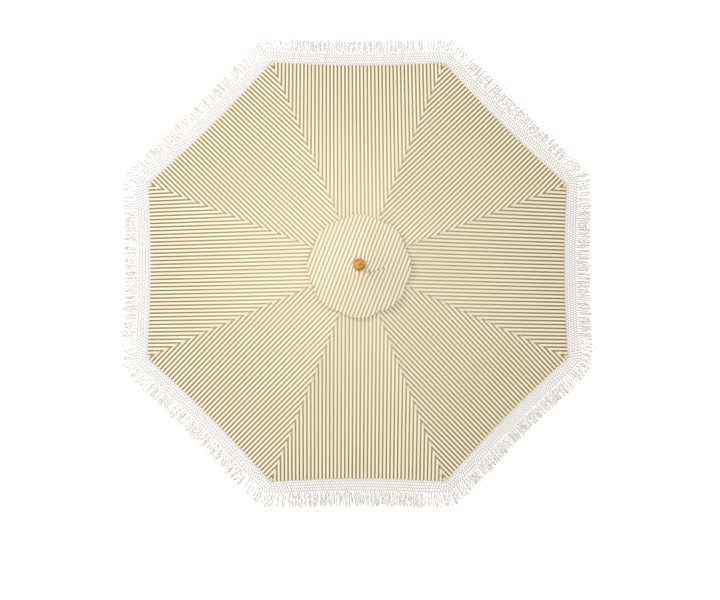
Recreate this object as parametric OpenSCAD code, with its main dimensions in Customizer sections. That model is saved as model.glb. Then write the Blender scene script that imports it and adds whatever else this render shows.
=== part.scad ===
// Beach umbrella with eight timber ribs, a striped canopy, a vented top and a knotted fringe.
// The origin is the bottom centre of the pole and +Z is up. Lengths are millimetres.
// It stands open: the ribs slope down from the crown and the struts hold them from the runner.

/* [Canopy] */
// Span across opposite rib tips, measured on the cloth
span = 3000; // [2600:50:3200]
// Slope of the open ribs below the horizontal, in degrees
open_slope = 20; // [18:1:22]
// Inward curve of the hem halfway between two ribs
hem_scallop = 20; // [0:5:40]
// Dip of the cloth halfway between two ribs
cloth_dip = 14; // [0:2:20]
// Thickness of the cloth's solid
cloth_t = 1.2; // [1:0.1:3]
// Radius of the vent opening in the canopy
vent_r = 200; // [160:10:240]
// Radius of the vent cap where it crosses a rib
cap_rib_r = 314; // [280:2:340]
// Radius of the vent cap halfway between two ribs
cap_side_r = 330; // [290:2:350]
// Height of the vent cap's edge above the canopy at a rib
cap_lift = 14; // [8:1:20]

/* [Fringe] */
// Length of the fringe from the hem to the tassel ends
fringe_len = 225; // [120:5:240]
// Thickness of the fringe's solid
fringe_t = 2; // [1.5:0.5:6]

/* [Pole] */
// Diameter of the pole
pole_d = 48; // [48:1:48]
// Diameter of the foot that goes into a base
foot_d = 44; // [40:1:46]
// Length of the foot
foot_len = 380; // [300:10:400]
// Height of the joint between the two halves of the pole
split_h = 855; // [840:5:860]
// Length of the ferrule around that joint
ferrule_len = 160; // [120:10:160]
// Height of the rib pivots above the bottom of the pole
crown_h = 2360; // [2355:5:2400]

/* [Ribs and struts] */
// Width of a rib
rib_w = 15; // [14:0.5:15]
// Depth of a rib at the crown
rib_depth = 24; // [22:1:24]
// Depth of a rib at its tip
rib_tip_depth = 16; // [12:1:20]
// Distance along a rib from the crown pivot to the strut bracket
bracket_at = 650; // [640:5:655]
// Drop of the strut pivot below the centre line of the rib
bracket_drop = 24; // [24:1:26]
// Width of a strut
strut_w = 13; // [12:0.5:13]
// Depth of a strut
strut_depth = 18; // [16:1:18]
// Radius of the pivot pins
pin_r = 3; // [2.5:0.25:3]

/* [Crown and runner] */
// Radius of the crown and of the runner
hub_r = 62; // [60:1:64]
// Distance from the pole's axis to the pivots in the crown and in the runner
pivot_r = 46; // [46:1:46]
// Width of a slot for a rib or a strut
slot_w = 16.2; // [16:0.1:16.4]
// Length of the brass sleeve below the runner
sleeve_len = 74; // [60:2:80]
// Radius of the clamp screw's knob
knob_r = 11; // [9:0.5:11.5]

/* [Finial] */
// Diameter of the finial's base
finial_d = 82; // [76:2:90]
// Diameter of the finial's knob
finial_knob_d = 42; // [36:1:46]

/* [Hidden] */
$fn = 72;
gores = 8;
step = 360 / gores;
half = step / 2;
fit = 0.05;
glue = 0.02;
pole_r = pole_d / 2;
rib_half = rib_depth / 2;
slope = tan(open_slope);

// Crown pivot, strut pivot and runner pivot make an isosceles triangle.
reach = sqrt(bracket_at * bracket_at + bracket_drop * bracket_drop);
strut_slope = open_slope + atan(bracket_drop / bracket_at);
runner_h = crown_h - 2 * reach * sin(strut_slope);

// Hubs: lower and upper faces measured from the pivots.
hub_low = -22;
hub_high = 20;
hub_edge = 8;
core_r = 33;
boss_r = 30;
boss_top = 42;
neck_r = 31;
neck_low = -60;
pole_top = crown_h + 16;
crown_pin_len = 30;
trunnion_len = 23;
groove_gap = 0.4;

// Ribs and brackets: the rib's end past the last row of cloth, and the rivets of the bracket.
rib_short = 10;
tip_chamfer = 4;
tip_round = 6;
taper_from = bracket_at + 60;
rivet_r = 2.5;
rivet_at = 14;
rivet_drop = 3;
head_r = 4.5;
head_t = 1.2;
pin_head_r = 5;
pin_head_t = 1.6;

// The fitting on a strut's lower end.
fitting_len = 50;
fitting_rivet_at = 44;
fitting_rivet_r = 2;

// Cloth: the height over the ribs at which its underside lies, and its rows and columns.
cloth_gap = 3;
cloth_lift = rib_half / cos(open_slope) + cloth_gap;
hem_r = span / 2;
rib_len = (hem_r - rib_short - pivot_r) / cos(open_slope);
seam_gap = 0.04;
cols = 12;
cloth_rows = 8;
fringe_rows = 4;
fringe_start = 1.5;
fringe_first = 18;
fringe_last = 48;
fan_width = 5;

// Top fittings, as heights above the rib pivots.
washer_t = 2;
washer_r = 34;
stud_r = 5;
stud_low = -44;
stud_high = 92;
cap_low = boss_top;
finial_low = cap_low + cloth_t + washer_t;

// Runner sleeve and clamp screw, as distances from the pole's axis or from the runner's pivots.
sleeve_r = 31;
sleeve_fit = 0.06;
screw_drop = -62;
screw_r = 3;
screw_tip = pole_r + 0.6;
knob_in = 58;
knob_out = 76;
screw_boss_r = 7;
screw_boss_out = 35;

function rib_name(kind, i) = str(kind, "_", i);
ribs = [for (i = [1 : gores]) i];

timber = "#b5793c";
brass = "#b8924a";
cloth = "#dccdaa";
cotton = "#f1efea";

// ---- Placing ----

function rib_az(i) = half + step * (i - 1);

module at_rib(i) {
    rotate([0, 0, rib_az(i)]) children();
}

// X runs along the rib from its pivot in the crown, Z is the rib's upper side.
module along_rib(i) {
    at_rib(i) translate([pivot_r, 0, crown_h]) rotate([0, open_slope, 0]) children();
}

// X runs along the strut from its pivot in the runner, Z is the strut's upper side.
module along_strut(i) {
    at_rib(i) translate([pivot_r, 0, runner_h]) rotate([0, -strut_slope, 0]) children();
}

// A flat shape drawn in X and Z, as thick as w and centred on Y.
module upright(w) {
    rotate([90, 0, 0]) linear_extrude(height = w, center = true) children();
}

module cross_pin(r, len) {
    rotate([90, 0, 0]) cylinder(r = r, h = len, center = true);
}

// ---- Pole ----

module pole_lower() {
    color(timber) {
        cylinder(r = foot_d / 2, h = foot_len);
        translate([0, 0, foot_len]) cylinder(r = pole_r, h = split_h - foot_len);
    }
}

module pole_ferrule() {
    wall = 2.4;
    bead = 2;
    groove_at = 9;
    low = split_h - ferrule_len / 2;
    color(brass) translate([0, 0, low]) rotate_extrude() {
        translate([pole_r + fit, 0]) square([wall, ferrule_len]);
        for (z = [bead, groove_at, ferrule_len - groove_at, ferrule_len - bead])
            translate([pole_r + fit + wall, z]) circle(r = bead, $fn = 32);
    }
}

module pole_upper() {
    color(timber) difference() {
        translate([0, 0, split_h]) cylinder(r = pole_r, h = pole_top - split_h);
        translate([0, 0, crown_h + stud_low - 1]) cylinder(r = stud_r + glue, h = 80);
    }
}

// ---- Crown and runner ----

// A turned hub with one radial slot for each rib, open at the top and the bottom.
module slotted_hub(bore) {
    edge_r = hub_r - hub_edge;
    difference() {
        rotate_extrude() {
            translate([bore, hub_low]) square([edge_r - bore, hub_high - hub_low]);
            translate([bore, hub_low + hub_edge])
                square([hub_r - bore, hub_high - hub_low - 2 * hub_edge]);
            for (z = [hub_low + hub_edge, hub_high - hub_edge])
                translate([edge_r, z]) circle(r = hub_edge);
        }
        for (i = ribs) at_rib(i) translate([core_r, -slot_w / 2, hub_low - 1])
            cube([hub_r, slot_w, hub_high - hub_low + 2]);
    }
}

module crown_hub() {
    bore = pole_r + glue;
    color(timber) translate([0, 0, crown_h]) difference() {
        union() {
            slotted_hub(bore);
            translate([0, 0, hub_high]) cylinder(r = boss_r, h = boss_top - hub_high);
            translate([0, 0, neck_low]) cylinder(r = neck_r, h = hub_low - neck_low + 1);
        }
        translate([0, 0, neck_low - 1]) cylinder(r = bore, h = pole_top - crown_h - neck_low + 1);
        cylinder(r = stud_r + glue, h = boss_top + 1);
        for (i = ribs) at_rib(i) translate([pivot_r, 0, 0])
            cross_pin(pin_r + glue, crown_pin_len + 1);
    }
}

module crown_pins() {
    color(brass) for (i = ribs) at_rib(i) translate([pivot_r, 0, crown_h])
        cross_pin(pin_r, crown_pin_len);
}

// The strut trunnions rise into grooves that are open below, so the struts can leave the runner.
module runner_hub() {
    groove_r = pin_r + groove_gap;
    groove_len = trunnion_len + 1;
    color(timber) translate([0, 0, runner_h]) difference() {
        slotted_hub(pole_r + 0.5);
        for (i = ribs) at_rib(i) translate([pivot_r, 0, 0]) {
            cross_pin(groove_r, groove_len);
            translate([-groove_r, -groove_len / 2, hub_low - 1])
                cube([2 * groove_r, groove_len, -hub_low + 1]);
        }
    }
}

module runner_sleeve() {
    top = hub_low;
    bead = 2;
    color(brass) translate([0, 0, runner_h]) difference() {
        union() {
            rotate_extrude() {
                translate([pole_r, top - sleeve_len]) square([sleeve_r - pole_r, sleeve_len]);
                for (z = [top - bead, top - sleeve_len + bead])
                    translate([sleeve_r, z]) circle(r = bead, $fn = 32);
            }
            translate([0, 0, screw_drop]) rotate([0, 90, 0])
                cylinder(r = screw_boss_r, h = screw_boss_out);
        }
        translate([0, 0, top - sleeve_len - 1]) cylinder(r = pole_r + sleeve_fit, h = sleeve_len + 2);
        translate([0, 0, screw_drop]) rotate([0, 90, 0])
            cylinder(r = screw_r + fit, h = screw_boss_out + 1);
    }
}

// A brass thumbscrew with a fluted knob; its tip stops just clear of the pole.
module clamp_screw() {
    flutes = 12;
    flute_r = 1.6;
    knob_t = knob_out - knob_in;
    edge = 3;
    color(brass) translate([0, 0, runner_h + screw_drop]) rotate([0, 90, 0]) {
        translate([0, 0, screw_tip]) cylinder(r = screw_r, h = knob_in - screw_tip + 1);
        translate([0, 0, knob_in]) difference() {
            rotate_extrude() {
                square([knob_r, knob_t - edge]);
                square([knob_r - edge, knob_t]);
                translate([knob_r - edge, knob_t - edge]) circle(r = edge, $fn = 32);
            }
            for (k = [1 : flutes]) rotate([0, 0, k * 360 / flutes])
                translate([knob_r + flute_r / 4, 0, -1]) cylinder(r = flute_r, h = knob_t + 2, $fn = 24);
        }
    }
}

// ---- Finial and its fittings ----

module finial_stud() {
    color(brass) translate([0, 0, crown_h + stud_low])
        cylinder(r = stud_r, h = stud_high - stud_low);
}

module cap_washer() {
    color(brass) translate([0, 0, crown_h + cap_low + cloth_t]) difference() {
        cylinder(r = washer_r, h = washer_t);
        translate([0, 0, -1]) cylinder(r = stud_r + 0.3, h = washer_t + 2);
    }
}

// A turned finial: a dished base, a waist with a collar, and a round knob with a small button.
module finial() {
    base_r = finial_d / 2;
    knob = finial_knob_d / 2;
    rim = 4;
    waist_r = 13;
    waist_h = 37;
    throat_r = 10;
    throat_h = 52;
    collar_h = 33;
    dish_r = 17;
    knob_h = 66;
    button_r = 6;
    color(timber) translate([0, 0, crown_h + finial_low]) difference() {
        union() {
            rotate_extrude() {
                square([base_r - rim, 2 * rim]);
                translate([base_r - rim, rim]) circle(r = rim);
                difference() {
                    square([waist_r + dish_r - rim, collar_h - 3]);
                    translate([waist_r + dish_r, dish_r + 2 * rim + 1]) circle(r = dish_r);
                }
                translate([waist_r, collar_h]) circle(r = rim);
                square([waist_r, waist_h]);
                square([throat_r, throat_h]);
            }
            translate([0, 0, knob_h]) sphere(r = knob);
            translate([0, 0, knob_h + knob - 1]) cylinder(r = button_r, h = rim);
            translate([0, 0, knob_h + knob + rim - 1]) sphere(r = button_r);
        }
        translate([0, 0, -1]) cylinder(r = stud_r + glue, h = stud_high - finial_low + 3);
    }
}

// ---- Ribs ----

module rib(i) {
    tip = rib_half - rib_tip_depth;
    cut = rib_w + 2;
    color(timber) along_rib(i) difference() {
        union() {
            upright(rib_w) polygon([
                [0, -rib_half], [taper_from, -rib_half], [rib_len - tip_chamfer, tip],
                [rib_len, tip + tip_chamfer], [rib_len, rib_half - tip_round],
                [rib_len - tip_round, rib_half], [0, rib_half]
            ]);
            cross_pin(rib_half, rib_w);
        }
        cross_pin(pin_r + fit, cut);
        for (x = [-rivet_at, rivet_at]) translate([bracket_at + x, 0, -rivet_drop])
            cross_pin(rivet_r + glue, cut);
    }
}

// Two brass plates on the sides of the rib, joined by rivets, with the strut's pin below it.
module rib_bracket(i) {
    plate_t = 2;
    plate_half = 22;
    plate_top = 5;
    ear_r = 9;
    out = rib_w + 2 * plate_t;
    color(brass) along_rib(i) translate([bracket_at, 0, 0]) {
        for (y = [-1, 1]) translate([0, y * (rib_w + plate_t) / 2, 0]) upright(plate_t) {
            translate([-plate_half, -rib_half]) square([2 * plate_half, rib_half + plate_top]);
            translate([-ear_r, -bracket_drop]) square([2 * ear_r, bracket_drop - rib_half + 1]);
            translate([0, -bracket_drop]) circle(r = ear_r);
        }
        for (x = [-rivet_at, rivet_at]) translate([x, 0, -rivet_drop]) {
            cross_pin(rivet_r, out);
            for (y = [-1, 1]) translate([0, y * (out + head_t) / 2, 0]) cross_pin(head_r, head_t);
        }
        translate([0, 0, -bracket_drop]) {
            cross_pin(pin_r, out);
            for (y = [-1, 1]) translate([0, y * (out + pin_head_t) / 2, 0])
                cross_pin(pin_head_r, pin_head_t);
        }
    }
}

// ---- Struts ----

module strut(i) {
    end_r = strut_depth / 2;
    color(timber) along_strut(i) upright(strut_w) difference() {
        union() {
            translate([0, -end_r]) square([reach, strut_depth]);
            circle(r = end_r);
            translate([reach, 0]) circle(r = end_r);
        }
        circle(r = pin_r + glue);
        translate([reach, 0]) circle(r = pin_r + fit);
        translate([fitting_rivet_at, 0]) circle(r = fitting_rivet_r + glue, $fn = 32);
    }
}

// Two brass cheeks on the strut's lower end, with the trunnion that seats in the runner.
module strut_fitting(i) {
    cheek_t = 1.2;
    end_r = strut_depth / 2 - 0.5;
    color(brass) along_strut(i) {
        for (y = [-1, 1]) translate([0, y * (strut_w + cheek_t) / 2, 0]) upright(cheek_t) {
            translate([0, -end_r]) square([fitting_len, 2 * end_r]);
            circle(r = end_r);
            translate([fitting_len, 0]) circle(r = end_r);
        }
        cross_pin(pin_r, trunnion_len);
        translate([fitting_rivet_at, 0, 0]) cross_pin(fitting_rivet_r, strut_w + 2 * cheek_t);
    }
}

// ---- Cloth ----

// b is the angle from the rib, in degrees, from -half to half.
function octagon(b) = cos(half) / cos(half - abs(b));
function midway(b) = 1 - pow((half - abs(b)) / half, 2);

// The canopy's underside at r, the distance from the axis along the rib, and b.
function cloth_point(r, b) =
    let (
        plan = r * octagon(b) - hem_scallop * midway(b) * pow(r / hem_r, 6),
        along = plan / octagon(b),
        share = (r - vent_r) / (hem_r - vent_r),
        z = crown_h + cloth_lift - (along - pivot_r) * slope - cloth_dip * midway(b) * sin(180 * share)
    )
    [plan * cos(b), plan * sin(b), z];

// The fringe leaves the hem at right angles to it, fans round each corner and droops outward.
function fan(b) = sign(b) * half * min(1, abs(b) / fan_width);
function droop(k) = fringe_first + (fringe_last - fringe_first) * (k + 0.5) / fringe_rows;
function fringe_step(k) = fringe_len / fringe_rows * [cos(droop(k)), -sin(droop(k))];
function fringe_reach(k) = k == 0 ? [fringe_start, 0] : fringe_reach(k - 1) + fringe_step(k - 1);
function fringe_point(k, b) =
    let (hem = cloth_point(hem_r, b), out = fringe_reach(k))
    hem + [out[0] * cos(fan(b)), out[0] * sin(fan(b)), out[1]];

// The vent cap's underside: flat under the washer, then a cone to its edge, a at any angle.
function cap_edge(a) = cap_rib_r + (cap_side_r - cap_rib_r) * midway(half - abs(a % step - half));
cap_slope = (cloth_lift + cloth_t + cap_lift - (cap_rib_r - pivot_r) * slope - cap_low)
    / (cap_rib_r - washer_r);
cap_rows = [stud_r + 1, washer_r, 110, 180, 250, 1];
function cap_point(k, a) =
    let (r = k == len(cap_rows) - 1 ? cap_edge(a) : cap_rows[k])
    [r * cos(a + half), r * sin(a + half), crown_h + cap_low + max(0, r - washer_r) * cap_slope];

// A closed solid from a grid of points, low[row][col], and the same grid lifted by t.
// When round is true the last column joins the first.
module skin(low, t, round = false) {
    rows = len(low);
    n = len(low[0]);
    last = round ? n : n - 1;
    under = [for (line = low) for (p = line) p];
    over = [for (p = under) p + [0, 0, t]];
    function at(side, r, c) = side * rows * n + r * n + c % n;
    function quad(a, b, c, d) = [[a, b, c], [a, c, d]];
    top = [for (r = [0 : rows - 2]) for (c = [0 : last - 1]) each
        quad(at(1, r, c), at(1, r, c + 1), at(1, r + 1, c + 1), at(1, r + 1, c))];
    bottom = [for (r = [0 : rows - 2]) for (c = [0 : last - 1]) each
        quad(at(0, r, c), at(0, r + 1, c), at(0, r + 1, c + 1), at(0, r, c + 1))];
    inner = [for (c = [0 : last - 1]) each
        quad(at(0, 0, c), at(0, 0, c + 1), at(1, 0, c + 1), at(1, 0, c))];
    outer = [for (c = [0 : last - 1]) each quad(
        at(0, rows - 1, c), at(1, rows - 1, c), at(1, rows - 1, c + 1), at(0, rows - 1, c + 1))];
    first = [for (r = [0 : rows - 2]) each
        quad(at(0, r, 0), at(1, r, 0), at(1, r + 1, 0), at(0, r + 1, 0))];
    final = [for (r = [0 : rows - 2]) each quad(
        at(0, r, n - 1), at(0, r + 1, n - 1), at(1, r + 1, n - 1), at(1, r, n - 1))];
    polyhedron(
        points = concat(under, over),
        faces = concat(top, bottom, inner, outer, round ? [] : concat(first, final))
    );
}

function across(k) = (half - seam_gap) * (2 * k / cols - 1);

module canopy_panel(i) {
    color(cloth) at_rib(i) skin([
        for (r = [0 : cloth_rows]) let (along = vent_r + (hem_r - vent_r) * r / cloth_rows)
            [for (c = [0 : cols]) cloth_point(along, across(c))]
    ], cloth_t);
}

module fringe(i) {
    color(cotton) at_rib(i) skin([
        for (r = [0 : fringe_rows]) [for (c = [0 : cols]) fringe_point(r, across(c))]
    ], fringe_t);
}

module vent_cap() {
    turns = 4 * gores;
    color(cloth) skin([
        for (k = [0 : len(cap_rows) - 1]) [for (c = [0 : turns - 1]) cap_point(k, c * 360 / turns)]
    ], cloth_t, round = true);
}

// ---- Nodes ----

pole_lower();
pole_ferrule();
pole_upper();
crown_hub();
crown_pins();
finial_stud();
cap_washer();
finial();
vent_cap();
runner_hub();
runner_sleeve();
clamp_screw();
for (i = ribs) rib(i);
for (i = ribs) rib_bracket(i);
for (i = ribs) strut(i);
for (i = ribs) strut_fitting(i);
for (i = ribs) canopy_panel(i);
for (i = ribs) fringe(i);
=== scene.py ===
import math

import bpy
import numpy as np
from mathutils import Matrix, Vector


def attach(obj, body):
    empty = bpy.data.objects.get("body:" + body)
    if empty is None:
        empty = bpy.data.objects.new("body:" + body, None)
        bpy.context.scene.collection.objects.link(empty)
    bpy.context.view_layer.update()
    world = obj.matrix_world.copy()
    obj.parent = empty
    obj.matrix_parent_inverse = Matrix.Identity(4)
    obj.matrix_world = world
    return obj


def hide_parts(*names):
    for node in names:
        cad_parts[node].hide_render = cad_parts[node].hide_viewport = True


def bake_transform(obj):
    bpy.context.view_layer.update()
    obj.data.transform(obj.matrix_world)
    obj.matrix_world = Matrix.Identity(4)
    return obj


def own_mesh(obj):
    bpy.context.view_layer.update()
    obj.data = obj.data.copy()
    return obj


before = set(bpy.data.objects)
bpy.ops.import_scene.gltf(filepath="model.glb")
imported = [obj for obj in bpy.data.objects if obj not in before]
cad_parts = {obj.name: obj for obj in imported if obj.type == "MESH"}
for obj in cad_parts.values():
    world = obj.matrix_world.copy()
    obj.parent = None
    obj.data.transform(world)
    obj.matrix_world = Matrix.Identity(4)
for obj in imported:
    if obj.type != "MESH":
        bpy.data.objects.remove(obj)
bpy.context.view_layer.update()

# ---------------------------------------------------------------------------------------------
# Sizes that the cloth and the frame share, in metres and radians
# ---------------------------------------------------------------------------------------------
RIBS = 8
HALF = math.pi / RIBS              # half the angle between two ribs
SLOPE = math.radians(20)           # fall of an open rib
CROWN_H = 2.360                    # height of the rib pivots
PIVOT_R = 0.046
BRACKET_AT, BRACKET_DROP = 0.650, 0.024
RUNNER_H = 1.87027                 # height of the strut pivots with the canopy open

HEM_R = 1.500                      # hem's radius at a rib
VENT_R = 0.200                     # inner edge of the canopy, under the cap
CLOTH_T = 0.0012
CLOTH_LIFT = 0.012 / math.cos(SLOPE) + 0.003
SCALLOP = 0.020                    # how far the hem draws in half way between two ribs
DIP = 0.014                        # how far the cloth sags half way between two ribs
RIDGE, RIDGE_HALF = 0.0010, 0.006  # height and half width of the ridge over a rib
HEM_DROP, HEM_BEND = 0.005, 0.030  # how far the hem turns down, and over what length
SIDE = HEM_R * math.cos(HALF)      # from the pole to mid-gore, were the hem straight
HALF_HEM = HEM_R * math.sin(HALF)  # length of the hem from a rib to mid-gore

CAP_RIB_R, CAP_SIDE_R = 0.314, 0.330
CAP_LIFT, CAP_LOW = 0.014, 0.042
WASHER_R = 0.034
COLLAR_START = 0.020               # the cap is cut out inside this radius for the stud
COLLAR_R = 0.100                   # the cap inside this radius bends over the crown hub
LINING_R = 0.205                   # its lining goes on under the cap to here
LINING_GAP = 0.0026

FRINGE_LEN = 0.225
FRINGE_START = 0.0015
DROOP_FIRST, DROOP_LAST = math.radians(18), math.radians(48)
FAN_WIDTH = math.radians(5)

STRIPE = 0.0247                    # one cream and one tan stripe
CAP_STRIPE_TURN = math.radians(21)

rng = np.random.default_rng(3000)


# ---------------------------------------------------------------------------------------------
# Meshes
# ---------------------------------------------------------------------------------------------
def mesh_object(name, points, faces, uv_maps=None, normals=None):
    """A mesh piece from arrays. uv_maps holds one (n, 2) array of metres for each map's name."""
    mesh = bpy.data.meshes.new(name)
    mesh.from_pydata(np.asarray(points, float).tolist(), [], np.asarray(faces, int).tolist())
    mesh.polygons.foreach_set("use_smooth", [True] * len(mesh.polygons))
    loops = np.empty(len(mesh.loops), int)
    mesh.loops.foreach_get("vertex_index", loops)
    for label, values in (uv_maps or {}).items():
        layer = mesh.uv_layers.new(name=label)
        layer.data.foreach_set("uv", np.asarray(values, np.float32)[loops].ravel())
    mesh.update()
    if normals is not None:
        mesh.normals_split_custom_set_from_vertices(np.asarray(normals, float).tolist())
    piece = bpy.data.objects.new(name, mesh)
    bpy.context.scene.collection.objects.link(piece)
    return piece


def grid_faces(rows, cols, around=False, flip=False):
    """Quads of a grid of points kept row by row. around joins the last column to the first."""
    r = np.arange(rows - 1)[:, None]
    c = np.arange(cols if around else cols - 1)[None, :]
    nxt = (c + 1) % cols
    quads = np.stack([r * cols + c, r * cols + nxt, (r + 1) * cols + nxt, (r + 1) * cols + c], -1)
    quads = quads.reshape(-1, 4)
    return quads[:, ::-1] if flip else quads


def tubes(paths, radius):
    """Closed square tubes along paths of shape (tubes, points, 3): their points and faces."""
    sides = 4
    count, steps, _ = paths.shape
    ahead = np.gradient(paths, axis=1)
    ahead /= np.linalg.norm(ahead, axis=2, keepdims=True)
    across = np.cross(ahead, [0.0, 0.0, 1.0])
    across /= np.maximum(np.linalg.norm(across, axis=2, keepdims=True), 1e-9)
    above = np.cross(across, ahead)
    turn = 2 * math.pi * np.arange(sides) / sides
    ring = (across[:, :, None] * np.cos(turn)[None, None, :, None]
            + above[:, :, None] * np.sin(turn)[None, None, :, None])
    points = paths[:, :, None] + ring * radius
    one = grid_faces(steps, sides, around=True)
    caps = np.array([np.arange(sides)[::-1], (steps - 1) * sides + np.arange(sides)])
    one = np.concatenate([one, caps])
    faces = (one[None] + (np.arange(count) * steps * sides)[:, None, None]).reshape(-1, 4)
    return points.reshape(-1, 3), faces


def joined(parts):
    """One list of points and one of faces from several (points, faces)."""
    points, faces, start = [], [], 0
    for p, f in parts:
        points.append(p)
        faces.append(np.asarray(f) + start)
        start += len(p)
    return np.concatenate(points), np.concatenate(faces)


# ---------------------------------------------------------------------------------------------
# Shape of the open cloth. b is the angle away from the rib, and side is +1 or -1 round the pole
# ---------------------------------------------------------------------------------------------
def rib_azimuth(rib):
    return HALF + 2 * HALF * (rib - 1)


def octagon(b):
    return math.cos(HALF) / np.cos(HALF - np.abs(b))


def midway(b):
    """0 on a rib and 1 half way to the next one."""
    return 1 - ((HALF - np.abs(b)) / HALF) ** 2


def smooth(x, low, high):
    t = np.clip((x - low) / (high - low), 0, 1)
    return t * t * (3 - 2 * t)


def plan_radius(r, b):
    return r * octagon(b) - SCALLOP * midway(b) * (r / HEM_R) ** 6


def wrinkles(azimuth, r):
    """Slack in the stretched cloth, a millimetre or two high."""
    slow = np.sin(8 * azimuth + 5 * r + 0.6) * np.sin(4.1 * r + 1.0)
    fan = np.sin(24 * azimuth - 3 * r) * smooth(r, 0.5, 1.4)
    cross = np.sin(13 * azimuth + 11 * r + 2.1)
    return (1.5 * slow + 0.9 * fan + 0.5 * cross) * 1e-3 * r / HEM_R


def cloth(rib, side, r, b):
    """Points half way through the canopy's cloth. It rises a little over the rib, sags between
    the ribs and turns down at the hem."""
    plan = plan_radius(r, b)
    azimuth = rib_azimuth(rib) + side * b
    share = np.clip((r - VENT_R) / (HEM_R - VENT_R), 0, 1)
    z = CROWN_H + CLOTH_LIFT + CLOTH_T / 2 - (plan / octagon(b) - PIVOT_R) * math.tan(SLOPE)
    z = z - DIP * midway(b) * np.sin(math.pi * share)
    z = z + RIDGE * np.exp(-(plan * np.sin(b) / RIDGE_HALF) ** 2)
    z = z + wrinkles(azimuth, r) * midway(b)
    z = z - HEM_DROP * smooth(r, HEM_R - HEM_BEND, HEM_R) ** 2
    return np.stack([plan * np.cos(azimuth), plan * np.sin(azimuth), z + 0 * plan], -1)


def fold(piece, rib):
    """Rides on the rib, with a mesh of its own."""
    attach(piece, f"rib_{rib}")
    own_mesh(piece)


def rib_line(rib, r):
    """Points of the cloth right over a rib."""
    return cloth(rib, 1, np.array(r), np.array(0.0))


def side_name(side):
    return "left" if side > 0 else "right"


# ---------------------------------------------------------------------------------------------
# Materials
# ---------------------------------------------------------------------------------------------
class Graph:
    """A material being built: add() makes a node and sets or links its inputs by name."""

    def __init__(self, name, **shader):
        self.material = bpy.data.materials.new(name)
        self.material.use_nodes = True
        self.nodes = self.material.node_tree.nodes
        self.links = self.material.node_tree.links
        self.shader = self.nodes["Principled BSDF"]
        self.wire(self.shader, shader)

    def wire(self, node, values):
        for key, value in values.items():
            socket = node.inputs[key if isinstance(key, int) else key.replace("_", " ")]
            if isinstance(value, bpy.types.NodeSocket):
                self.links.new(value, socket)
            else:
                socket.default_value = value

    def add(self, kind, settings=None, **values):
        node = self.nodes.new("ShaderNode" + kind)
        for key, value in (settings or {}).items():
            setattr(node, key, value)
        self.wire(node, values)
        return node

    def math(self, operation, *values):
        node = self.add("Math", {"operation": operation})
        self.wire(node, dict(enumerate(values)))
        return node.outputs[0]

    def noise(self, vector, scale, detail=3.0, roughness=0.55):
        return self.add("TexNoise", Vector=vector, Scale=scale, Detail=detail,
                        Roughness=roughness).outputs["Fac"]

    def spread(self, value, low, high, to_low=0.0, to_high=1.0, kind="SMOOTHSTEP"):
        node = self.add("MapRange", {"interpolation_type": kind})
        self.wire(node, {"Value": value, "From Min": low, "From Max": high,
                         "To Min": to_low, "To Max": to_high})
        return node.outputs[0]

    def mix(self, factor, a, b, blend="MIX"):
        node = self.add("Mix", {"data_type": "RGBA", "blend_type": blend})
        self.wire(node, {0: factor, 6: a, 7: b})
        return node.outputs[2]

    def bump(self, height, distance, strength=1.0, under=None):
        node = self.add("Bump", Height=height, Distance=distance, Strength=strength)
        if under is not None:
            self.links.new(under, node.inputs["Normal"])
        return node.outputs[0]


def colour(r, g, b):
    return (r, g, b, 1.0)


CREAM = colour(0.96, 0.86, 0.635)
TAN = colour(0.228, 0.166, 0.080)
CROWN_TAN = colour(0.50, 0.43, 0.262)
CAP_TAN = colour(0.50, 0.425, 0.285)
THREAD = colour(0.80, 0.72, 0.56)
TAN_BLEND_FROM, TAN_BLEND_TO = 0.30, 1.50    # metres down the cloth from the crown
THREAD_PITCH, STITCH = 0.0011, 0.0042
SEAM_STITCH_AT, HEM_STITCH_AT = 0.0045, 0.016


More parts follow.
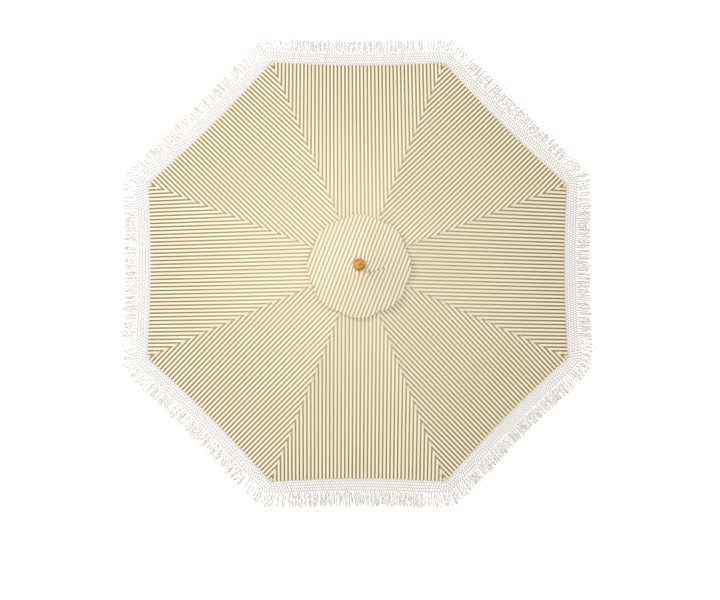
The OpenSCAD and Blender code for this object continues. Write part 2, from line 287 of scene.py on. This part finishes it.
def striped_canvas(name, tan, crown_tan, tan_share):
    """Woven cotton with printed-in stripes whose tan is lighter towards the crown. The map cloth
    holds metres across and along the stripes, and the map edge holds metres from the rib's seam and
    from the hem."""
    g = Graph(name, Roughness=0.88, Specular_IOR_Level=0.25, Sheen_Weight=0.18,
              Sheen_Roughness=0.5)
    place = g.add("UVMap", {"uv_map": "cloth"}).outputs[0]
    across, along, _ = g.add("SeparateXYZ", Vector=place).outputs
    edge = g.add("UVMap", {"uv_map": "edge"}).outputs[0]
    from_seam, from_hem, _ = g.add("SeparateXYZ", Vector=edge).outputs

    wobble = g.spread(g.noise(place, 90.0), 0.0, 1.0, -0.0006, 0.0006, "LINEAR")
    turns = g.math("DIVIDE", g.math("ADD", across, wobble), STRIPE)
    stripe = g.math("PINGPONG", turns, 0.5)
    edge_at = 0.5 * (1 - tan_share)
    is_tan = g.spread(stripe, edge_at - 0.018, edge_at + 0.018)
    # the tan stripes go lighter towards the crown, and reach the full tan at the hem
    toward_hem = g.spread(along, TAN_BLEND_FROM, TAN_BLEND_TO, kind="LINEAR")
    base = g.mix(is_tan, CREAM, g.mix(toward_hem, crown_tan, tan))

    threads = g.add("Mapping", Vector=place, Scale=(1300.0, 160.0, 1.0)).outputs[0]
    slubs = g.noise(threads, 1.0, 2.0)
    base = g.mix(g.spread(slubs, 0.30, 0.75, 0.0, 0.16), base, colour(0.52, 0.43, 0.28))
    wash = g.noise(place, 3.2, 4.0, 0.6)
    base = g.mix(g.spread(wash, 0.35, 0.75, 0.0, 0.10), base, colour(0.70, 0.62, 0.46))

    weft = g.math("SINE", g.math("MULTIPLY", across, 2 * math.pi / THREAD_PITCH))
    warp = g.math("SINE", g.math("MULTIPLY", along, 2 * math.pi / THREAD_PITCH))
    weave = g.math("MULTIPLY", weft, warp)

    def stitches(distance, at, run):
        line = g.spread(g.math("ABSOLUTE", g.math("SUBTRACT", distance, at)), 0.0003, 0.0007,
                        1.0, 0.0)
        dash = g.math("PINGPONG", g.math("DIVIDE", run, STITCH), 0.5)
        return g.math("MULTIPLY", line, g.spread(dash, 0.10, 0.16))

    seam = g.math("MAXIMUM", stitches(from_seam, SEAM_STITCH_AT, along),
                  stitches(from_hem, HEM_STITCH_AT, across))
    base = g.mix(seam, base, THREAD)
    # Painted shade: a dark line along the rib's seam, darkest on the seam and gone 1.6 mm from it,
    # standing in for the shade in the seam
    crease = g.spread(g.math("ABSOLUTE", from_seam), 0.0, 0.0016, 0.45, 0.0)
    base = g.mix(crease, base, colour(0.20, 0.15, 0.09))

    body = g.bump(weave, 0.00012)
    g.links.new(g.bump(seam, 0.0006, under=body), g.shader.inputs["Normal"])
    g.links.new(base, g.shader.inputs["Base Color"])
    g.links.new(g.spread(wash, 0.3, 0.8, 0.82, 0.94), g.shader.inputs["Roughness"])
    return g.material


def cotton(name, tone):
    """Twisted cotton cord or tape."""
    g = Graph(name, Roughness=0.92, Specular_IOR_Level=0.2, Sheen_Weight=0.15,
              Sheen_Roughness=0.45)
    place = g.add("TexCoord").outputs["Object"]
    fibres = g.noise(place, 2600.0, 3.0)
    batches = g.noise(place, 14.0, 3.0)
    shade = g.mix(g.spread(fibres, 0.35, 0.70), tone, colour(*(0.82 * c for c in tone[:3])))
    shade = g.mix(g.spread(batches, 0.45, 0.75, 0.0, 0.35), shade,
                  colour(tone[0] * 0.95, tone[1] * 0.91, tone[2] * 0.82))
    g.links.new(shade, g.shader.inputs["Base Color"])
    g.links.new(g.bump(fibres, 0.0003), g.shader.inputs["Normal"])
    return g.material


def wood(name, light, dark, turn, roughness=0.45, coat=0.0, seed=0.0):
    """Timber whose grain runs along the X axis turned by turn. Rings and pores are drawn out
    along the grain."""
    g = Graph(name, Specular_IOR_Level=0.4, Coat_Weight=coat, Coat_Roughness=0.12)
    place = g.add("TexCoord").outputs["Object"]
    grain = g.add("Mapping", {"vector_type": "TEXTURE"}, Vector=place, Rotation=turn,
                  Location=(seed, 0.37 * seed, 0.0), Scale=(22.0, 1.0, 1.0)).outputs[0]
    rings = g.noise(grain, 55.0, 4.0, 0.6)
    streaks = g.noise(grain, 240.0, 3.0, 0.6)
    pores = g.noise(grain, 900.0, 2.0)
    base = g.mix(g.spread(rings, 0.32, 0.68), light, dark)
    base = g.mix(g.spread(streaks, 0.42, 0.75, 0.0, 0.55), base,
                 colour(*(0.62 * c for c in dark[:3])))
    base = g.mix(g.spread(pores, 0.60, 0.72, 0.0, 0.6), base,
                 colour(*(0.35 * c for c in dark[:3])))
    worn = g.noise(place, 9.0, 4.0, 0.65)
    base = g.mix(g.spread(worn, 0.50, 0.78, 0.0, 0.30), base,
                 colour(*(min(1.0, 1.25 * c) for c in light[:3])))
    g.links.new(base, g.shader.inputs["Base Color"])
    g.links.new(g.spread(streaks, 0.3, 0.8, roughness - 0.08, roughness + 0.10),
                g.shader.inputs["Roughness"])
    rough = g.bump(pores, 0.00025, 0.6)
    g.links.new(g.bump(rings, 0.0004, 0.5, under=rough), g.shader.inputs["Normal"])
    return g.material


def brass(name):
    """Brushed brass with a little tarnish."""
    g = Graph(name, Metallic=1.0)
    place = g.add("TexCoord").outputs["Object"]
    brushed = g.noise(g.add("Mapping", Vector=place, Scale=(1.0, 1.0, 16.0)).outputs[0], 260.0, 3.0)
    tarnish = g.noise(place, 34.0, 5.0, 0.65)
    base = g.mix(g.spread(tarnish, 0.42, 0.72, 0.0, 0.75), colour(0.76, 0.57, 0.28),
                 colour(0.36, 0.24, 0.11))
    g.links.new(base, g.shader.inputs["Base Color"])
    g.links.new(g.spread(brushed, 0.25, 0.8, 0.24, 0.46), g.shader.inputs["Roughness"])
    g.links.new(g.bump(brushed, 0.00008, 0.5), g.shader.inputs["Normal"])
    return g.material


CANVAS = striped_canvas("canopy_canvas", TAN, CROWN_TAN, 0.44)
CAP_CANVAS = striped_canvas("cap_canvas", CAP_TAN, CAP_TAN, 0.42)
COTTON = cotton("fringe_cotton", colour(0.775, 0.757, 0.728))
TAPE = cotton("seam_tape", colour(0.80, 0.73, 0.58))
BRASS = brass("brushed_brass")
OAK, OAK_DARK = colour(0.56, 0.33, 0.150), colour(0.36, 0.185, 0.070)
AMBER, AMBER_DARK = colour(0.80, 0.385, 0.050), colour(0.46, 0.170, 0.015)
UPRIGHT = (0.0, -math.pi / 2, 0.0)


# ---------------------------------------------------------------------------------------------
# Canopy: two sheets beside each rib make one continuous striped surface
# ---------------------------------------------------------------------------------------------
GORE_ROWS, HEM_ROWS, GORE_COLS = 104, 8, 52
# the turned hem in section: distance out from the edge, and height
HEM_TURN = ((0.0008, -0.0004), (0.0012, -0.0012), (0.0008, -0.0021), (-0.004, -0.0025),
            (-0.012, -0.0026), (-0.020, -0.0026))
GORE_SLOPE = math.atan(math.tan(SLOPE) / math.cos(HALF))


def gore(rib, side):
    """Half a gore, from its rib to mid-gore, with the hem turned under."""
    t = np.linspace(0, 1, GORE_COLS)
    b = HALF * (0.12 * t + 0.88 * t ** 1.7)
    r = np.concatenate([np.linspace(VENT_R, HEM_R - 0.034, GORE_ROWS),
                        np.linspace(HEM_R - 0.028, HEM_R, HEM_ROWS)])
    rr, bb = np.meshgrid(r, b, indexing="ij")
    points = cloth(rib, side, rr, bb)
    azimuth = rib_azimuth(rib) + side * b
    hem = cloth(rib, side, np.full_like(b, HEM_R), b)
    centre = rib_azimuth(rib) + side * HALF
    sine, cosine = math.sin(GORE_SLOPE), math.cos(GORE_SLOPE)
    out = np.array([math.cos(centre) * cosine, math.sin(centre) * cosine, -sine])
    up = np.array([math.cos(centre) * sine, math.sin(centre) * sine, cosine])
    turned = np.stack([hem + ahead * out + above * up for ahead, above in HEM_TURN])
    points = np.concatenate([points, turned])
    rows = len(points)
    plan = np.hypot(points[..., 0], points[..., 1])
    around = np.arctan2(points[..., 1], points[..., 0]) - centre
    around = (around + math.pi) % (2 * math.pi) - math.pi
    across, along = plan * np.sin(around), plan * np.cos(around) / math.cos(GORE_SLOPE)
    hem_plan = np.hypot(hem[:, 0], hem[:, 1]) * np.cos(azimuth - centre)
    from_seam = plan * np.sin(np.maximum(HALF - np.abs(around), 0))
    from_hem = (hem_plan[None] - plan * np.cos(around)) / math.cos(GORE_SLOPE)
    uv_maps = {"cloth": np.stack([across, along], -1).reshape(-1, 2),
               "edge": np.stack([from_seam, from_hem], -1).reshape(-1, 2)}

    # on the border with the next sheet the normals are those of the whole surface
    step = 1e-3
    border = np.full_like(r, HALF)
    by_r = cloth(rib, side, r + step, border) - cloth(rib, side, r - step, border)
    by_b = cloth(rib, side, r, border + step) - cloth(rib, side, r, border - step)
    whole = np.cross(by_r, by_b) * side
    whole /= np.linalg.norm(whole, axis=1, keepdims=True)
    normals = np.zeros_like(points)
    normals[:len(r), -1] = whole

    piece = mesh_object(f"gore_{rib}_{side_name(side)}", points.reshape(-1, 3),
                        grid_faces(rows, GORE_COLS, flip=side > 0), uv_maps,
                        normals.reshape(-1, 3))
    piece.data.materials.append(CANVAS)
    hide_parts(f"canopy_panel_{rib}")
    return piece


# ---------------------------------------------------------------------------------------------
# Fringe: a braided header, a net of knotted diamonds and loose tassels
# ---------------------------------------------------------------------------------------------
COLUMNS = 38
PITCH = HALF_HEM / COLUMNS         # of the net's diamonds along the hem
NET_ROWS = (0.008, 0.028, 0.049, 0.070, 0.092)
NET_POINTS, TASSEL_POINTS = 13, 14
CORD_R = 0.0019
STRAND_OFF = 0.0019                # from the middle of a doubled cord to each of its strands
HEADER_LOW = 0.0088                # the header is sewn under the turned hem
HEADER_WIDE, HEADER_THICK, PLAIT = 0.0085, 0.0013, 0.0075
KNOT_R, KNOT_H = 0.0042, 0.0036


def fringe_run(q):
    """Distance out and drop of a point q along the fringe, which hangs lower towards its end."""
    droop = DROOP_FIRST + (DROOP_LAST - DROOP_FIRST) * q / FRINGE_LEN
    rate = (DROOP_LAST - DROOP_FIRST) / FRINGE_LEN
    out = (np.sin(droop) - math.sin(DROOP_FIRST)) / rate
    drop = (np.cos(DROOP_FIRST) - np.cos(droop)) / rate
    return out, drop


def fringe_point(rib, side, w, q, above):
    """A point of the fringe: w metres along the hem from the rib, q metres out, above it."""
    b = HALF - np.arctan((HALF_HEM - w) / SIDE)
    inside = np.clip(b, -FAN_WIDTH, FAN_WIDTH) / FAN_WIDTH
    turn = rib_azimuth(rib) + side * HALF * inside
    azimuth = rib_azimuth(rib) + side * b
    plan = plan_radius(HEM_R, np.abs(b))
    z = CROWN_H + CLOTH_LIFT - (plan / octagon(b) - PIVOT_R) * math.tan(SLOPE) - HEADER_LOW
    out, drop = fringe_run(q)
    out = out + FRINGE_START
    return np.stack([plan * np.cos(azimuth) + out * np.cos(turn),
                     plan * np.sin(azimuth) + out * np.sin(turn), z - drop + above], -1)


def net_and_tassels(rib, side):
    """The cords of half a side, as paths of equal length in points."""
    column = (np.arange(COLUMNS) + 0.5) * PITCH
    steps, rows = np.linspace(0, 1, NET_POINTS), np.linspace(0, 1, len(NET_ROWS))
    net_q = np.interp(steps, rows, NET_ROWS)
    zig = 0.5 - 0.5 * np.cos(math.pi * np.interp(steps, rows, np.arange(len(NET_ROWS)) % 2))
    tassel = np.linspace(0, 1, TASSEL_POINTS + 1)[1:]
    paths = []
    for lean in (1, -1):
        for strand in (-1, 1):
            w_net = column[:, None] + lean * (PITCH / 2) * zig[None] + strand * STRAND_OFF
            q_net = np.broadcast_to(net_q, w_net.shape)
            length = FRINGE_LEN * (0.90 + 0.17 * rng.random(COLUMNS)) - NET_ROWS[-1]
            q_end = NET_ROWS[-1] + length[:, None] * tassel[None]
            bend = 0.0030 * (0.4 + rng.random(COLUMNS))[:, None]
            waves = (length / 0.045 * (0.7 + 0.6 * rng.random(COLUMNS)))[:, None]
            start = (2 * math.pi * rng.random(COLUMNS))[:, None]
            stray = (0.0065 * rng.normal(size=COLUMNS))[:, None]
            fan = (lean * 0.0029 + strand * 0.0016) * np.minimum(1, 4 * tassel)[None]
            sway = bend * (np.sin(2 * math.pi * waves * tassel + start) - np.sin(start))
            w_end = column[:, None] + fan + sway + stray * tassel[None] ** 1.5
            lift_net = CORD_R * lean * np.cos(math.pi * (w_net - column[:, None]) / PITCH)
            lift_end = (0.0015 * lean + 0.0025 * rng.normal(size=(COLUMNS, 1)) * tassel
                        + 0.5 * bend * np.cos(2 * math.pi * waves * tassel + start))
            w, q = np.concatenate([w_net, w_end], 1), np.concatenate([q_net, q_end], 1)
            lift = np.concatenate([lift_net, lift_end], 1)
            paths.append(fringe_point(rib, side, w, q, lift))
    return np.concatenate(paths)


def knots(rib, side):
    """A knot wherever two cords of the net meet: a small rounded lump."""
    ring, levels = 6, ((-1.0, 0.35), (-0.45, 0.95), (0.45, 0.95), (1.0, 0.35))
    middles = []
    for k, q in enumerate(NET_ROWS):
        if k % 2 == 0:
            w = (np.arange(COLUMNS) + 0.5) * PITCH
        else:
            # the knots on the rib and at mid-gore belong to one of the two sheets
            w = (np.arange(COLUMNS + 1) if side > 0 else np.arange(1, COLUMNS)) * PITCH
        middles.append(fringe_point(rib, side, w, np.full_like(w, q), np.zeros_like(w)))
    middles = np.concatenate(middles)
    turn = 2 * math.pi * np.arange(ring) / ring
    shell = np.array([[KNOT_R * width * math.cos(a), KNOT_R * width * math.sin(a), KNOT_H * high]
                      for high, width in levels for a in turn])
    faces = grid_faces(len(levels), ring, around=True)
    lids = np.array([[0, 5, 4, 3], [0, 3, 2, 1], [18, 19, 20, 21], [18, 21, 22, 23]])
    faces = np.concatenate([faces, lids])
    points = middles[:, None] + shell[None]
    faces = faces[None] + (np.arange(len(middles)) * len(shell))[:, None, None]
    return points.reshape(-1, 3), faces.reshape(-1, 4)


def header(rib, side):
    """The braided band that the hem's stitches hold: a flat tube with a plaited surface."""
    steps, ring = 300, 8
    w = np.linspace(0, HALF_HEM, steps)[:, None]
    turn = 2 * math.pi * (np.arange(ring) + 0.5)[None] / ring
    plait = 1 + 0.35 * np.sin(2 * math.pi * w / PLAIT + turn)
    q = 0.0005 + HEADER_WIDE * np.cos(turn) + 0 * w
    points = fringe_point(rib, side, w + 0 * turn, q, HEADER_THICK * plait * np.sin(turn))
    faces = grid_faces(steps, ring, around=True)
    return points.reshape(-1, 3), faces


def fringe(rib, side):
    """The fringe along one half of a gore's hem."""
    cords = tubes(net_and_tassels(rib, side), CORD_R)
    points, faces = joined([header(rib, side), cords, knots(rib, side)])
    piece = mesh_object(f"fringe_{rib}_{side_name(side)}", points, faces)
    piece.data.materials.append(COTTON)
    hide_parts(f"fringe_{rib}")
    return piece


# ---------------------------------------------------------------------------------------------
# Vent cap: a collar round the finial, and two sheets beside each rib out to its edge
# ---------------------------------------------------------------------------------------------
CAP_EDGE_UP = CLOTH_LIFT + CLOTH_T + CAP_LIFT - (CAP_RIB_R - PIVOT_R) * math.tan(SLOPE)
CAP_SLOPE = (CAP_EDGE_UP - CAP_LOW) / (CAP_RIB_R - WASHER_R)
CREASE_FROM, CREASE_TO = np.array([0.040, -0.047]), np.array([0.190, -0.006])
CREASE_DEPTH, CREASE_WIDTH, CREASE_TUCK = 0.0068, 0.0038, 0.0078


def cap_edge(b):
    return CAP_RIB_R + (CAP_SIDE_R - CAP_RIB_R) * midway(b)


def crease(x, y):
    """Distance to the left of the tuck's line, and how strong the tuck is beside that point."""
    line = CREASE_TO - CREASE_FROM
    length = np.linalg.norm(line)
    ahead = ((x - CREASE_FROM[0]) * line[0] + (y - CREASE_FROM[1]) * line[1]) / length
    off = ((y - CREASE_FROM[1]) * line[0] - (x - CREASE_FROM[0]) * line[1]) / length
    off = off + 0.006 * np.sin(math.pi * np.clip(ahead / length, 0, 1))
    return off, smooth(ahead, -0.004, 0.012) * (1 - smooth(ahead, length * 0.75, length * 1.1))


def cap_height(x, y):
    """Height of the cap's cloth: a cone from the washer, gathered round the finial, with one
    tuck to its right and slack towards the edge."""
    r, angle = np.hypot(x, y), np.arctan2(y, x)
    z = CROWN_H + CAP_LOW + CLOTH_T / 2 + np.maximum(0, r - WASHER_R) * CAP_SLOPE
    near = smooth(r, 0.037, 0.050) * np.exp(-np.maximum(0, r - 0.050) / 0.034)
    swirl = angle + 9.0 * (r - 0.04)
    gathers = np.sin(11 * swirl) + 0.6 * np.sin(7 * swirl + 1.2)
    z = z + near * 0.0027 * gathers * (1 + 0.4 * np.sin(2 * angle))
    off, run = crease(x, y)
    tuck = -np.exp(-(off / CREASE_WIDTH) ** 2) + 0.55 * np.exp(-((off + 0.011) / 0.009) ** 2)
    z = z + CREASE_DEPTH * run * tuck
    slack = np.sin(5 * angle + 0.8) * smooth(r, 0.10, 0.30) + 0.5 * np.sin(13 * angle + 20 * r)
    return z + 0.0012 * slack * smooth(r, 0.05, 0.12)


def cap_uv(x, y, b):
    """Metres across and along the cap's stripes, which lean and swirl a little at the finial."""
    r = np.hypot(x, y)
    turn = CAP_STRIPE_TURN + 0.48 * np.exp(-np.maximum(0, r - 0.036) / 0.022)
    across, along = x * np.cos(turn) - y * np.sin(turn), x * np.sin(turn) + y * np.cos(turn)
    off, run = crease(x, y)
    taken_in = CREASE_TUCK * run * np.tanh(off / 0.0025) * np.exp(-np.abs(off) / 0.03)
    across = across + 0.35 * STRIPE + taken_in
    return {"cloth": np.stack([across, along], -1).reshape(-1, 2),
            "edge": np.stack([np.ones_like(r), cap_edge(b) - r + 0.006], -1).reshape(-1, 2)}


def cap_normals(x, y):
    step = 5e-4
    by_x = (cap_height(x + step, y) - cap_height(x - step, y)) / (2 * step)
    by_y = (cap_height(x, y + step) - cap_height(x, y - step)) / (2 * step)
    normals = np.stack([-by_x, -by_y, np.ones_like(x)], -1)
    return normals / np.linalg.norm(normals, axis=-1, keepdims=True)


def cap_sheet(rib, side):
    """Half a segment of the cap, from the collar to the stitched edge."""
    cols, rows = 54, 104
    b = np.linspace(0, HALF, cols)[None]
    share = np.linspace(0, 1, rows)[:, None]
    r = COLLAR_R + (cap_edge(b) - COLLAR_R) * share
    azimuth = rib_azimuth(rib) + side * b
    x, y = r * np.cos(azimuth), r * np.sin(azimuth)
    points = np.stack([x, y, cap_height(x, y)], -1)
    normals = cap_normals(x, y)
    edge = points[-1]
    outward = np.stack([np.cos(azimuth[0]), np.sin(azimuth[0]), np.full(cols, CAP_SLOPE)], -1)
    turned = [edge + ahead * outward + [0, 0, above] for ahead, above in HEM_TURN[:5]]
    points = np.concatenate([points, turned])
    bb = np.broadcast_to(b, points.shape[:2])
    normals = np.concatenate([normals, np.zeros((len(turned), cols, 3))])
    piece = mesh_object(f"cap_{rib}_{side_name(side)}", points.reshape(-1, 3),
                        grid_faces(len(points), cols, flip=side > 0),
                        cap_uv(points[..., 0], points[..., 1], bb), normals.reshape(-1, 3))
    piece.data.materials.append(CAP_CANVAS)
    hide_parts("vent_cap")
    return piece


def cap_collar(rib):
    """The middle of the cap over one rib, and the lining that goes on under the outer sheets."""
    cols = 33
    b = np.linspace(-HALF, HALF, cols)[None]
    r = np.concatenate([np.linspace(COLLAR_START, COLLAR_R, 34),
                        np.linspace(COLLAR_R + 0.004, LINING_R, 22)])
    azimuth = rib_azimuth(rib) + b
    x, y = r[:, None] * np.cos(azimuth), r[:, None] * np.sin(azimuth)
    under = LINING_GAP * smooth(r, COLLAR_R, COLLAR_R + 0.014)[:, None]
    points = np.stack([x, y, cap_height(x, y) - under], -1)
    piece = mesh_object(f"cap_collar_{rib}", points.reshape(-1, 3),
                        grid_faces(len(r), cols, flip=True), cap_uv(x, y, 0 * x),
                        cap_normals(x, y).reshape(-1, 3))
    piece.data.materials.append(CAP_CANVAS)
    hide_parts("vent_cap")
    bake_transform(piece)
    return piece


# ---------------------------------------------------------------------------------------------
# Underside: a tape on each seam and a pocket round each rib's end
# ---------------------------------------------------------------------------------------------
def seam_tape(rib):
    """A tape sewn under the seam, from the vent to the pocket."""
    rows, half_width = 90, 0.009
    profile = np.array([(-1.0, 0.0), (-0.75, -0.0006), (0.0, -0.0008), (0.75, -0.0006), (1.0, 0.0)])
    r = np.linspace(0.215, HEM_R - 0.045, rows)
    tangent = np.array([-math.sin(rib_azimuth(rib)), math.cos(rib_azimuth(rib)), 0.0])
    line = rib_line(rib, r)
    pucker = 0.0002 * np.sin(2 * math.pi * r / 0.021)
    points = (line[:, None] + (half_width * profile[:, 0])[None, :, None] * tangent
              + np.array([0, 0, 1.0]) * (profile[None, :, 1] - 0.0019 + pucker[:, None])[..., None])
    piece = mesh_object(f"seam_tape_{rib}", points.reshape(-1, 3), grid_faces(rows, len(profile)))
    piece.data.materials.append(TAPE)
    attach(piece, f"rib_{rib}")
    return piece


POCKET_INSET = 0.0015              # of the pocket's end from the hem


def rib_pocket(rib):
    """A sewn pocket that holds the rib's end: a sling under it, closed at the outer end."""
    half_width, depth, length = 0.0098, 0.0225, 0.066
    turn = np.linspace(0, math.pi, 17)
    profile = np.stack([-np.cos(turn), -np.minimum(1.0, 1.6 * np.sin(turn))], -1)
    profile = np.concatenate([[(-1.9, 0.10)], profile, [(1.9, 0.10)]])
    share = np.linspace(0, 1, 14)
    r = HEM_R - POCKET_INSET - length * share
    flange = (1.15 + 0.75 * smooth(share, 0.0, 0.3))[:, None] * np.sign(profile[:, 0])
    across = half_width * np.where(np.abs(profile[:, 0]) > 1, flange, profile[:, 0])
    azimuth = rib_azimuth(rib)
    tangent = np.array([-math.sin(azimuth), math.cos(azimuth), 0.0])
    normal = np.array([math.sin(SLOPE) * math.cos(azimuth), math.sin(SLOPE) * math.sin(azimuth),
                       math.cos(SLOPE)])
    line = rib_line(rib, np.full_like(r, 1.0))
    run = (r - 1.0)[:, None] * np.array([math.cos(azimuth), math.sin(azimuth), -math.tan(SLOPE)])
    belly = depth * (1 - 0.10 * share) + 0.0006 * np.sin(share * 9)
    points = (line[:, None] + run[:, None]
              + across[..., None] * tangent
              + (belly[:, None] * profile[None, :, 1] - 0.0042)[..., None] * normal)
    rows, cols = points.shape[:2]
    end = points[0].copy()
    middle = end.mean(0)
    lid = np.stack([end, middle + 0.45 * (end - middle), middle + 0.02 * (end - middle)])[::-1]
    points = np.concatenate([lid[:2], points])
    piece = mesh_object(f"rib_pocket_{rib}", points.reshape(-1, 3), grid_faces(rows + 2, cols))
    piece.data.materials.append(TAPE)
    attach(piece, f"rib_{rib}")
    return piece


for rib in range(1, RIBS + 1):
    trim = [seam_tape(rib), rib_pocket(rib)]
    for side in (1, -1):
        sheet, tassels, cap = gore(rib, side), fringe(rib, side), cap_sheet(rib, side)
        fold(sheet, rib)
        fold(tassels, rib)
        fold(cap, rib)
    collar = cap_collar(rib)


# ---------------------------------------------------------------------------------------------
# Finishes of the frame
# ---------------------------------------------------------------------------------------------
def finish_node(node, material):
    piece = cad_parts[node]
    piece.data.materials.clear()
    piece.data.materials.append(material)


strut_lean = math.atan2(CROWN_H - BRACKET_AT * math.sin(SLOPE) - BRACKET_DROP * math.cos(SLOPE)
                        - RUNNER_H,
                        BRACKET_AT * math.cos(SLOPE) - BRACKET_DROP * math.sin(SLOPE))
for rib in range(1, RIBS + 1):
    finish_node(f"rib_{rib}", wood(f"rib_timber_{rib}", OAK, OAK_DARK,
                                   (0.0, SLOPE, rib_azimuth(rib)), seed=0.31 * rib))
    finish_node(f"strut_{rib}", wood(f"strut_timber_{rib}", OAK, OAK_DARK,
                                     (0.0, -strut_lean, rib_azimuth(rib)), seed=0.53 * rib))
pole_wood = wood("pole_timber", OAK, OAK_DARK, UPRIGHT, roughness=0.40)
hub_wood = wood("hub_timber", OAK, OAK_DARK, UPRIGHT, roughness=0.42, seed=1.7)
for node in ("pole_lower", "pole_upper"):
    finish_node(node, pole_wood)
for node in ("crown_hub", "runner_hub"):
    finish_node(node, hub_wood)
finish_node("finial", wood("finial_timber", AMBER, AMBER_DARK, (0.0, 0.0, 0.4), roughness=0.32,
                           coat=0.35, seed=2.9))
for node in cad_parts:
    if node.startswith(("pole_ferrule", "crown_pins", "finial_stud", "cap_washer",
                        "runner_sleeve", "clamp_screw", "rib_bracket", "strut_fitting")):
        finish_node(node, BRASS)


# ---------------------------------------------------------------------------------------------
# Floor, light and camera
# ---------------------------------------------------------------------------------------------
def studio_floor():
    g = Graph("studio_floor", Roughness=1.0, Specular_IOR_Level=0.0)
    g.shader.inputs["Base Color"].default_value = colour(0.97, 0.97, 0.97)
    g.shader.inputs["Emission Color"].default_value = colour(1.0, 1.0, 1.0)
    g.shader.inputs["Emission Strength"].default_value = 0.45
    size = 30.0
    corners = [(-size, -size, 0), (size, -size, 0), (size, size, 0), (-size, size, 0)]
    floor = mesh_object("studio_floor", corners, [(0, 1, 2, 3)])
    floor.data.materials.append(g.material)


def lamp(name, place, target, size, power):
    data = bpy.data.lights.new(name, "AREA")
    data.shape, data.size, data.energy = "DISK", size, power
    light = bpy.data.objects.new(name, data)
    light.location = place
    light.rotation_euler = (Vector(target) - Vector(place)).to_track_quat("-Z", "Y").to_euler()
    bpy.context.scene.collection.objects.link(light)


studio_floor()
canopy_middle = Vector((0, 0, CROWN_H - 0.20))
lamp("key", (-5.5, 4.0, 9.0), canopy_middle, 2.4, 310)
lamp("fill", (6.0, -5.0, 8.0), canopy_middle, 6.0, 60)
lamp("low_fill", (-4.0, -7.0, 2.2), (0, 0, 1.2), 5.0, 60)

world = bpy.data.worlds.new("studio")
bpy.context.scene.world = world
world.use_nodes = True
world.node_tree.nodes["Background"].inputs["Color"].default_value = colour(1.0, 1.0, 1.0)
world.node_tree.nodes["Background"].inputs["Strength"].default_value = 0.83

RIM_H = CROWN_H + CLOTH_LIFT - (HEM_R - PIVOT_R) * math.tan(SLOPE)
VIEW_TILT, VIEW_TURN = math.radians(3.7), math.radians(-1.0)
VIEW_DISTANCE = 12.98
camera_data = bpy.data.cameras.new("camera")
camera_data.lens, camera_data.sensor_width = 98.2, 36.0
camera_data.shift_x, camera_data.shift_y = 0.0030, -0.0410
camera_data.clip_end = 200.0
camera = bpy.data.objects.new("camera", camera_data)
rim_middle = Vector((0, 0, RIM_H))
camera.rotation_euler = (VIEW_TILT, VIEW_TURN, 0)
camera.location = rim_middle + camera.rotation_euler.to_matrix() @ Vector((0, 0, VIEW_DISTANCE))
bpy.context.scene.collection.objects.link(camera)
bpy.context.scene.camera = camera

bpy.context.scene.view_settings.view_transform = "Standard"
